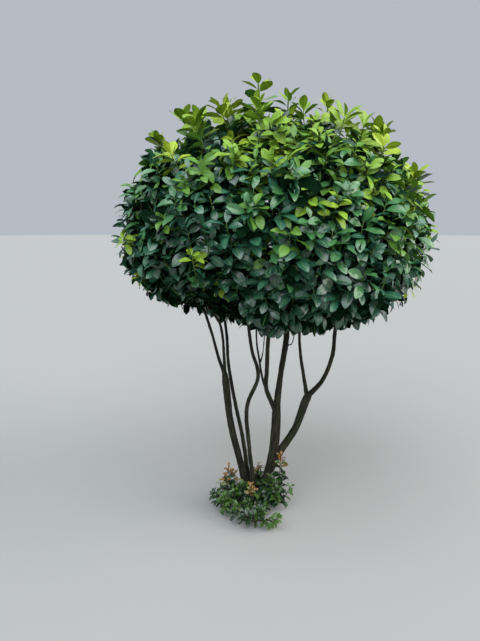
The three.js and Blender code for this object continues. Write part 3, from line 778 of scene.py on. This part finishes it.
def leaf_blades(net, root, heading, facing, length, width, curl, fold, twist, ripple):
    """Leaves as nets of points, rows from the stalk to the tip by columns from edge to edge. Half the width
    at share s of the blade is s^0.85 (1 - s)^0.74, scaled. The midrib bends along an arc of curl radians. The
    blade folds up from the midrib, arches down to its edges, twists towards its tip and ripples."""
    rows, columns = net
    face = unit(facing - np.sum(facing * heading, axis=-1, keepdims=True) * heading)
    aside = np.cross(face, heading)
    share = np.clip((rows - STALK_SHARE) / (1 - STALK_SHARE), 0, 1)
    outline = share**0.85 * (1 - share) ** 0.74 / 0.333
    outline = np.maximum(outline, np.where(rows < 0.5, 0.07, 0.02))
    u = rows[None, :, None]
    v = columns[None, None, :]
    per_leaf = lambda values: values[:, None, None]
    half = per_leaf(width) / 2 * outline[None, :, None]
    bend = per_leaf(curl)
    along = per_leaf(length) * np.sin(bend * u) / bend
    drop = per_leaf(length) * (1 - np.cos(bend * u)) / bend
    raise_edge = per_leaf(fold) * np.abs(v) - 0.22 * v**2 + per_leaf(ripple) * np.abs(v) * np.sin(9 * u)
    turn = per_leaf(twist) * u
    across = half * (v * np.cos(turn) - raise_edge * np.sin(turn))
    rise = half * (v * np.sin(turn) + raise_edge * np.cos(turn)) - drop
    expand = lambda vectors: vectors[:, None, None, :]
    return (
        expand(root)
        + along[..., None] * expand(heading)
        + across[..., None] * expand(aside)
        + rise[..., None] * expand(face)
    )


def leaf_faces(count, net):
    """The faces of that many leaves, and which of them lie on the stalk or on the midrib: the middle strip
    of a net with an even number of columns."""
    rows, columns = len(net[0]), len(net[1])
    row, column = np.meshgrid(np.arange(rows - 1), np.arange(columns - 1), indexing="ij")
    here = (row * columns + column).ravel()
    strip = np.stack([here, here + columns, here + columns + 1, here + 1], axis=1)
    faces = (np.arange(count)[:, None, None] * rows * columns + strip).reshape(-1, 4)
    rib = (2 * column == columns - 2) | (row == 0)
    return faces, np.tile(rib.ravel(), (count, 1))


limb_places = np.concatenate(
    [smooth_line(places, np.linspace(0, 1, LIMB_TEST_PLACES)) for places in LIMBS.values()]
)


def clear_of_limbs(points, gap=0.005):
    """Which points keep that gap from every limb's bark. Those well above the limbs' ends need no test."""
    clear = points[:, 2] > limb_places[:, 2].max() + 0.03
    low = np.flatnonzero(~clear)
    apart = np.linalg.norm(points[low, None, :] - limb_places[None, :, :3], axis=-1)
    clear[low] = np.all(apart > limb_places[:, 3] + gap, axis=1)
    return clear


def seats_on(lines, which, back, least=0.0):
    """Where leaves sit on lines, each a way back from the tip of the line that which names, but above the
    least share of it: the places, the line's heading there, and how long the line is."""
    run = np.linalg.norm(np.diff(lines[..., :3], axis=1), axis=-1).sum(axis=1)[which]
    stretches = lines.shape[1] - 1
    spot = np.clip(1 - back / run, least, 1) * stretches
    before = np.minimum(spot.astype(int), stretches - 1)
    past = (spot - before)[:, None]
    here, onward = lines[which, before, :3], lines[which, before + 1, :3]
    return here * (1 - past) + onward * past, unit(onward - here), run


def point_leaves(heading, turn, lean, droop):
    """Which way leaves point: leaning out from the shoot's heading, turned round it, and drooping."""
    level = np.where(np.abs(heading[:, 2:]) < 0.9, UP, (1.0, 0.0, 0.0))
    out = unit(np.cross(heading, level))
    out = out * np.cos(turn)[:, None] + np.cross(heading, out) * np.sin(turn)[:, None]
    return unit(heading * np.cos(lean)[:, None] + out * np.sin(lean)[:, None] - UP * droop[:, None])


# Twigs on a finer spiral. Each leaves its mass's nearest shoot, further back the more it stands aside.
chance = np.random.default_rng(11)
twig_aims = spiral_aims(TWIG_COUNT, 1.3)
twig_out = unit(twig_aims - CROWN_CENTRE)
twig_mass = np.argmax(inside_sectors(twig_aims - twig_out * TWIG_SORTING_DEPTH), axis=1)
under_aims = twig_aims - twig_out * SHOOT_TIP_DEPTH
apart = np.linalg.norm(under_aims[:, None, :] - shoots[None, :, -1, :3], axis=-1)
apart[:, SHOOT_COUNT:] += LEADER_HANDICAP
parent = np.argmin(apart + FAR_OFF * (twig_mass[:, None] != shoot_mass[None, :]), axis=1)
aside = apart[np.arange(TWIG_COUNT), parent]

# The twigs of one shoot make a rounded clump, and some clumps stand back from the outline.
stands_back = chance.uniform(0, 1, len(shoots)) ** 1.5 * CLUMP_MOST_SETBACK
depth = TWIG_TIP_DEPTH + stands_back[parent] + 2.6 * np.minimum(aside, 0.16) ** 2
depth = depth + chance.uniform(0, 0.025, TWIG_COUNT)
on_top = np.clip(twig_out[:, 2], 0, 1)
proud_share = np.where(twig_out[:, 2] > -DOME_TOP, PROUD_ON_SIDES, 0.0)
proud_share = np.where(on_top > DOME_TOP, PROUD_ON_TOP, proud_share)
stands_out = chance.uniform(size=TWIG_COUNT) < proud_share
outer_depth = chance.uniform(0.010, 0.050, TWIG_COUNT) + 0.02 * (on_top < DOME_TOP)
depth = np.where(stands_out, outer_depth, depth + 0.060 * on_top)
twig_tips = twig_aims - twig_out * depth[:, None] + chance.normal(0, 0.012, (TWIG_COUNT, 3))
lift = np.clip((twig_tips[:, 2:] - HANGING_HEIGHT) / UPRIGHT_RISE, -0.15, 1)
level_out = twig_out * (1, 1, 0)
astray = chance.normal(0, 0.14, (TWIG_COUNT, 3))
upright = unit(level_out * (1.05 - 0.65 * lift) + UP * 0.95 * lift + astray)
from_tip = np.linalg.norm(np.diff(shoots[..., :3], axis=1), axis=-1)[:, ::-1].cumsum(axis=1)
set_back = 0.035 + 0.75 * np.linalg.norm(twig_tips - shoots[parent, -1, :3], axis=1)
ring = SHOOT_RINGS - 2 - np.argmin(np.abs(from_tip[parent] - set_back[:, None]), axis=1)
twig_roots = shoots[parent, ring, :3]
across = np.linalg.norm(twig_tips - twig_roots, axis=1, keepdims=True)
twig_elbows = twig_tips - upright * np.minimum(TWIG_UPRIGHT_RUN, 0.7 * across)
twigs = tapered(np.stack([twig_roots, twig_elbows, twig_tips], axis=1), TWIG_RADII, TWIG_RINGS)

# The leaves of every twig and shoot, from the tip back. The topmost stand up and the lower ones spread.
sprays = np.concatenate([twigs, shoots[:, -TWIG_RINGS:, :]])
spray_mass = np.concatenate([twig_mass, shoot_mass])
spray_out = np.concatenate([twig_out, outward])
is_leader = np.arange(len(sprays)) >= len(sprays) - len(LEADERS)
is_proud = np.append(stands_out, np.zeros(len(shoots), bool)) | is_leader
slack = OUTLINE_SLACK + np.where(is_proud, 0.11, -0.03) * np.clip(spray_out[:, 2], 0, 1)
count = len(sprays)
spray_height = (sprays[:, -1, 2] - LEAF_ZONE_FOOT) / LEAF_ZONE_HEIGHT
spray_phase = chance.uniform(0, 2 * np.pi, count)
on_top = is_proud * np.clip(2 * spray_out[:, 2], 0, 1)
spray_size = chance.uniform(0.8, 1.12, count) * np.where(is_proud, 0.74 + 0.42 * on_top, 1)
spray_size[is_leader] *= 0.88
spacing = np.where(is_proud, 0.6 + 0.12 * on_top, 1)
spray_lift = np.clip((sprays[:, -1, 2:3] - HANGING_HEIGHT) / UPRIGHT_RISE, 0, 1)
leaf = np.tile(np.arange(LEAVES_PER_TWIG), count)
spray = np.repeat(np.arange(count), LEAVES_PER_TWIG)
total = len(leaf)
rank = np.minimum(leaf / SPREAD_LEAF, 1)
back = (0.003 + 0.0065 * leaf + 0.0008 * leaf**2) * spacing[spray]
leaf_roots, leaf_stems, _ = seats_on(sprays, spray, back, 0.04)
cupped = on_top[spray]
lean = np.radians(28 - 8 * cupped + (54 - 12 * cupped) * np.sqrt(rank) + chance.uniform(-7, 7, total))
low = np.clip(1 - spray_height[spray], 0, 1)
droop = 0.04 + 0.16 * chance.uniform(size=total) + (0.20 + 0.45 * low) * rank
arch = 1 - 0.6 * cupped
size = spray_size[spray] * (0.86 + 0.22 * chance.uniform(size=total)) * (1 - 0.28 * np.exp(-leaf / 1.3))
size[leaf > DEEP_LEAF] *= 1.2
length, width = LEAF_LENGTH * size, LEAF_WIDTH * size * chance.uniform(0.9, 1.1, total)
upward = leaf_stems * 0.9 * spray_lift[spray] + UP * (0.85 - 0.4 * spray_lift[spray])
facing = upward + 0.4 * spray_out[spray] + chance.normal(0, 0.42, (total, 3))
pointing = np.zeros((total, 3))
kept = np.zeros(total, bool)
for attempt in range(LEAF_TRIES):
    turn = (leaf + attempt * LEAVES_PER_TWIG) * GOLDEN_ANGLE + spray_phase[spray]
    tried = point_leaves(leaf_stems, turn, lean, droop)
    far, halfway = leaf_roots + tried * length[:, None], leaf_roots + tried * length[:, None] * 0.5
    within = (outline_share(far) < slack[spray]) | is_leader[spray]
    own = np.arange(total), spray_mass[spray]
    fits = within & (inside_sectors(far)[own] > -SECTOR_SLACK) & (far[:, 2] < HIGHEST_LEAF)
    fits &= clear_of_limbs(far) & clear_of_limbs(halfway)
    pointing = np.where((fits & ~kept)[:, None], tried, pointing)
    kept |= fits

# Colours by spray: darker low down and inside as painted shade, lighter to the top and the right as painted
# light, and young at some tips.
# Painted light: sprays high up and facing right get lighter copies of one leaf colour, with a random share.
light = 0.9 * spray_height + 0.17 * spray_out[:, 0] + chance.normal(0, 0.15, count)
tone = np.clip((light * 6.4 + 0.6).astype(int), 1, len(MATURE_LEAVES) - 1)
# Young leaves are paler by nature. More of them stand on top and to the right, where their yellow-green also
# paints the glow of light shining through the leaves.
young_spray = chance.uniform(size=count) < 1.3 * np.clip(spray_height + 0.2 * spray_out[:, 0] - 0.6, 0, 1)
young_spray |= is_proud
young_tone = np.where(chance.uniform(size=count) < 0.05 + 0.4 * spray_height, 1, 0)
young_tone[(spray_height < 0.5) & (spray_out[:, 0] > 0.3) & (chance.uniform(size=count) < 0.15)] = 2
is_young = young_spray[spray] & (leaf < 7 + 2 * is_proud[spray]) & kept
# Painted shade: leaves further back from the tip, deeper in the crown, take darker tones down to
# leaf_deep_shade. darkest keeps this painted shade lighter high up, as painted fill light from the sky.
darkest = np.clip((4 * spray_height - 1.8).astype(int), 0, 2)[spray]
leaf_tone = np.maximum(tone[spray] - (leaf > 7) - (leaf > 10) - 2 * (leaf > DEEP_LEAF), darkest)
is_outer = leaf < OUTER_LEAVES_PER_TWIG
crown_leaves = leaf_roots, pointing, facing, length, width, arch


def lay_leaves(mass, slot, leaves, sets, tones, finishes, rib, seed):
    """A piece of a mass's leaves, chosen in sets of one net each. leaves holds the roots, headings, facings,
    lengths, widths and arches of all. A leaf has its spray's colour, and a paler midrib and stalk. One that
    would reach into the ground lies on it."""
    chance = np.random.default_rng(seed)
    points, places, faces, finish_of, first = [], [], [], [], 0
    for is_chosen, net in sets:
        chosen = np.flatnonzero(is_chosen)
        count = len(chosen)
        *laid_out, arched = (values[chosen] for values in leaves)
        blades = leaf_blades(
            net,
            *laid_out,
            curl=chance.uniform(0.3, 1.2, count) * arched,
            fold=chance.uniform(0.25, 0.7, count),
            twist=chance.normal(0, 0.25, count),
            ripple=chance.normal(0, 0.09, count),
        )
        corners, on_rib = leaf_faces(count, net)
        blades[..., 2] = np.maximum(blades[..., 2], 0.001)
        along, aside = np.meshgrid(*net, indexing="ij")
        places.append(np.tile(np.stack([aside, along, 0 * along], axis=-1).reshape(-1, 3), (count, 1)))
        points.append(blades.reshape(-1, 3))
        faces.append(corners + first)
        finish_of.append(np.where(on_rib, len(finishes), tones[chosen][:, None]).ravel())
        first += blades.size // 3
    name = mass + "_" + slot
    piece = lay_piece(name, np.concatenate(points), faces, [*finishes, rib], np.concatenate(finish_of))
    keep_places(piece, "blade", np.concatenate(places))
    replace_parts(piece, mass)


for number, name in enumerate(MASSES):
    mine = kept & (spray_mass[spray] == number)
    mature = mine & ~is_young
    sets = [(mature & is_outer, FULL_NET), (mature & ~is_outer, INNER_NET)]
    lay_leaves(name, "leaves", crown_leaves, sets, leaf_tone, MATURE_LEAVES, MATURE_RIB, number)
    sets = [(mine & is_young, FULL_NET)]
    tones = young_tone[spray]
    lay_leaves(name, "young_leaves", crown_leaves, sets, tones, YOUNG_LEAVES, YOUNG_RIB, 50 + number)
    carried = sprays[spray_mass == number]
    points = tube(carried, TWIG_SIDES).reshape(-1, 3)
    faces = tube_faces(len(carried), TWIG_RINGS, TWIG_SIDES)
    is_green = np.tile(np.repeat(np.arange(TWIG_RINGS - 1) >= TWIG_RINGS // 2, TWIG_SIDES), len(carried))
    finish_of = np.concatenate([is_green, np.zeros(len(carried)), np.ones(len(carried))])
    piece = lay_piece(name + "_twigs", points, faces, TWIG_TONES, finish_of)
    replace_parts(piece, name)

# Low leafy shoots round the foot
# Young shoots that spring from the root crown between the stems, no thicker than a straw. Their leaves are a
# little more than half as long as the crown's, green below, and bronze to orange where they have just opened.
FOOT_MASSES = {  # bearing, half width, reach, height, number of shoots, and where the tallest ones stand:
    # the share of the way out, and how far to the side
    "foot_shoots_left": (219, 27, 0.270, 0.290, 34, (0.55, -0.036)),
    "foot_shoots_front": (266, 32, 0.312, 0.205, 42, (0.28, -0.024)),
    "foot_shoots_right": (317, 19, 0.190, 0.345, 32, (0.63, 0.056)),
    "foot_shoots_back": (80, 36, 0.165, 0.215, 18, (0.40, 0.0)),
}
FOOT_STEM_RADII = (0.0075, 0.0065, 0.0045)
FOOT_STEM_HEIGHTS = (0.018, 0.052)
FOOT_STEM_RINGS, FOOT_STEM_SIDES = 25, 10
FOOT_SHOOT_RADII = (0.0030, 0.0024, 0.0014)
FOOT_SHOOT_RINGS = 13
FOOT_TALLEST = (1.0, 0.92, 0.86)  # shares of the mass's height
FOOT_LEAVES_PER_SHOOT = 13
FOOT_LEAF_LENGTH = 0.052
FOOT_LEAF_WIDTH = 0.026
FOOT_LEAF_SPACING = 0.0120
FOOT_GROUND_GAP = 0.003
FOOT_NET = (np.array((0.0, 0.12, 0.26, 0.48, 0.72, 0.91, 1.0)), np.array((-1.0, -0.05, 0.05, 1.0)))
FOOT_LEAVES = [
    leaf_finish("low_leaf_dark", (16, 34, 16), 0.28, 0.2),
    leaf_finish("low_leaf_blue_green", (26, 50, 30), 0.28, 0.25),
    leaf_finish("low_leaf_green", (36, 62, 20), 0.32, 0.2),
    leaf_finish("low_leaf_bright", (54, 82, 28), 0.32, 0.2),
]
FOOT_YOUNG_LEAVES = [
    leaf_finish("low_young_leaf_lime", (100, 114, 46), 0.32),
    leaf_finish("low_young_leaf_bronze", (86, 67, 25), 0.32),
    leaf_finish("low_young_leaf_orange", (108, 74, 24), 0.32),
]
FOOT_YOUNG_RIB = leaf_finish("low_young_midrib", (126, 100, 50), 0.4)

for order, (name, sizes) in enumerate(FOOT_MASSES.items()):
    bearing, half_width, reach, height, shoot_count, (tall_place, tall_sway) = sizes
    chance = np.random.default_rng(70 + order)
    out = ray(bearing, 0)
    lateral = np.array((-out[1], out[0], 0.0))
    start = ROOT_CROWN_CENTRE + out * (ROOT_CROWN_SIZE[1] - 0.012) + UP * FOOT_STEM_HEIGHTS[0]
    end = ROOT_CROWN_CENTRE + out * reach + UP * FOOT_STEM_HEIGHTS[1]
    bend = start * 0.5 + end * 0.5 + UP * 0.008
    stem = np.column_stack([[start, bend, end], FOOT_STEM_RADII])
    place = np.linspace(0.0, 0.96, shoot_count) + chance.uniform(0, 0.04, shoot_count)
    tallest = np.argsort(np.abs(place - tall_place))[: len(FOOT_TALLEST)]
    shoot_roots = smooth_line(stem, place)[:, :3]
    away = np.linalg.norm(shoot_roots - ROOT_CROWN_CENTRE, axis=1) * np.tan(np.radians(half_width))
    sway = np.where(np.arange(shoot_count) % 2, 1, -1) * chance.uniform(0.1, 0.75, shoot_count) * away
    sway[tallest] = tall_sway + np.array((0.0, -0.012, 0.012))
    off_side = np.hypot(sway - tall_sway, (place - tall_place) * reach)
    share = chance.uniform(0.34, 0.62, shoot_count) + 0.3 * np.exp(-((off_side / 0.045) ** 2))
    share[tallest] = FOOT_TALLEST
    forward = chance.uniform(-0.02, 0.045, shoot_count)[:, None] * out
    shoot_tips = shoot_roots * (1, 1, 0) + sway[:, None] * lateral + forward
    shoot_tips[:, 2] = np.maximum(height * share - 0.030, 0.05)
    elbows = shoot_roots * 0.5 + shoot_tips * 0.5 + sway[:, None] * 0.25 * lateral
    places = np.stack([shoot_roots, elbows, shoot_tips], axis=1)
    low_shoots = tapered(places, FOOT_SHOOT_RADII, FOOT_SHOOT_RINGS)
    stem = smooth_line(stem, np.linspace(0, 1, FOOT_STEM_RINGS))
    parts = branch_parts(stem, FOOT_STEM_SIDES, low_shoots)
    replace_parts(lay_bark(name + "_stems", parts, 40 + order), name)

    leaf = np.tile(np.arange(FOOT_LEAVES_PER_SHOOT), shoot_count)
    spray = np.repeat(np.arange(shoot_count), FOOT_LEAVES_PER_SHOOT)
    total = len(leaf)
    rank = leaf / (FOOT_LEAVES_PER_SHOOT - 1)
    back = 0.002 + FOOT_LEAF_SPACING * leaf
    leaf_roots, leaf_stems, run = seats_on(low_shoots, spray, back)
    lean = np.radians(24 + 56 * np.sqrt(rank) + chance.uniform(-9, 9, total))
    size = chance.uniform(0.8, 1.1, total) * (1 - 0.48 * np.exp(-leaf / 2.2))
    length, width = FOOT_LEAF_LENGTH * size, FOOT_LEAF_WIDTH * size * chance.uniform(0.85, 1.1, total)
    facing = 0.5 * out + UP + chance.normal(0, 0.25, (total, 3))
    turn = leaf * GOLDEN_ANGLE + chance.uniform(0, 2 * np.pi, shoot_count)[spray]
    pointing = point_leaves(leaf_stems, turn, lean, 0.05 + 0.25 * rank)
    far = leaf_roots + pointing * length[:, None]
    kept = (far[:, 2] > FOOT_GROUND_GAP) & (run > back) & clear_of_limbs(far, 0.001)
    tone = np.clip((chance.uniform(0, 3.6, shoot_count)[spray] + 0.7 - 1.6 * rank).astype(int), 0, 3)
    young_tone = chance.choice(3, shoot_count, p=(0.8, 0.17, 0.03))
    young_tone[tallest] = (2, 1, 2)
    is_young = kept & (leaf < 4) & (share[spray] > 0.66)
    low_leaves = leaf_roots, pointing, facing, length, width, np.ones(total)
    sets = [(kept & ~is_young, FOOT_NET)]
    lay_leaves(name, "leaves", low_leaves, sets, tone, FOOT_LEAVES, FOOT_LEAVES[-1], 80 + order)
    sets = [(is_young, FOOT_NET)]
    tones = young_tone[spray]
    lay_leaves(name, "young_leaves", low_leaves, sets, tones, FOOT_YOUNG_LEAVES, FOOT_YOUNG_RIB, 90 + order)

# Floor, light and camera
# A plain pale studio floor, a broad soft light from above the front, and a warmer one from above on the
# right. The camera looks down a little from a standing adult's eye height.
FLOOR_RADIUS, FLOOR_SIDES = 60, 96
FLOOR_COLOUR = (0.27, 0.27, 0.265, 1)
FLOOR_ROUGHNESS = 0.9
STUDIO_COLOUR, STUDIO_STRENGTH = (0.84, 0.91, 1.0, 1), 0.55
CAMERA_PLACE = (-0.0975, -2.65, 1.65)
CAMERA_LENS = 27.0
CAMERA_TILT = 11.7  # degrees below level

floor_mesh = bpy.data.meshes.new("floor")
edge = np.linspace(0, 2 * np.pi, FLOOR_SIDES, endpoint=False)
ring = np.stack([FLOOR_RADIUS * np.cos(edge), FLOOR_RADIUS * np.sin(edge), 0 * edge], axis=1)
floor_mesh.from_pydata(ring.tolist(), [], [list(range(FLOOR_SIDES))])
floor_finish, floor_shader, _ = new_finish("pale_floor")
set_sockets(floor_shader, {"Base Color": FLOOR_COLOUR, "Roughness": FLOOR_ROUGHNESS})
floor_mesh.materials.append(floor_finish)
add_object("floor", floor_mesh)

world = bpy.data.worlds.new("studio")
world.use_nodes = True
set_sockets(world.node_tree.nodes["Background"], {"Color": STUDIO_COLOUR, "Strength": STUDIO_STRENGTH})
bpy.context.scene.world = world


def soft_light(name, bearing, rise, breadth, strength, colour):
    """A broad, distant light that reaches the floor evenly: where it stands, in degrees round from +X and up
    from the ground, how broad it looks from the plant, and its strength."""
    lamp = bpy.data.lights.new(name, "SUN")
    lamp.angle, lamp.energy, lamp.color = np.radians(breadth), strength, colour
    way = Vector(ray(bearing, rise).tolist())
    add_object(name, lamp).rotation_euler = way.to_track_quat("Z", "Y").to_euler()


soft_light("front_sky", 254, 54, 75, 4.4, (0.90, 0.96, 1.0))
soft_light("right_sky", 350, 33, 50, 2.9, (1.0, 0.96, 0.86))

lens = bpy.data.cameras.new("photo_view")
lens.lens = CAMERA_LENS
camera = add_object("photo_view", lens)
camera.location = CAMERA_PLACE
camera.rotation_euler = (np.radians(90 - CAMERA_TILT), 0, 0)
bpy.context.scene.camera = camera
bpy.context.scene.view_settings.view_transform = "Standard"
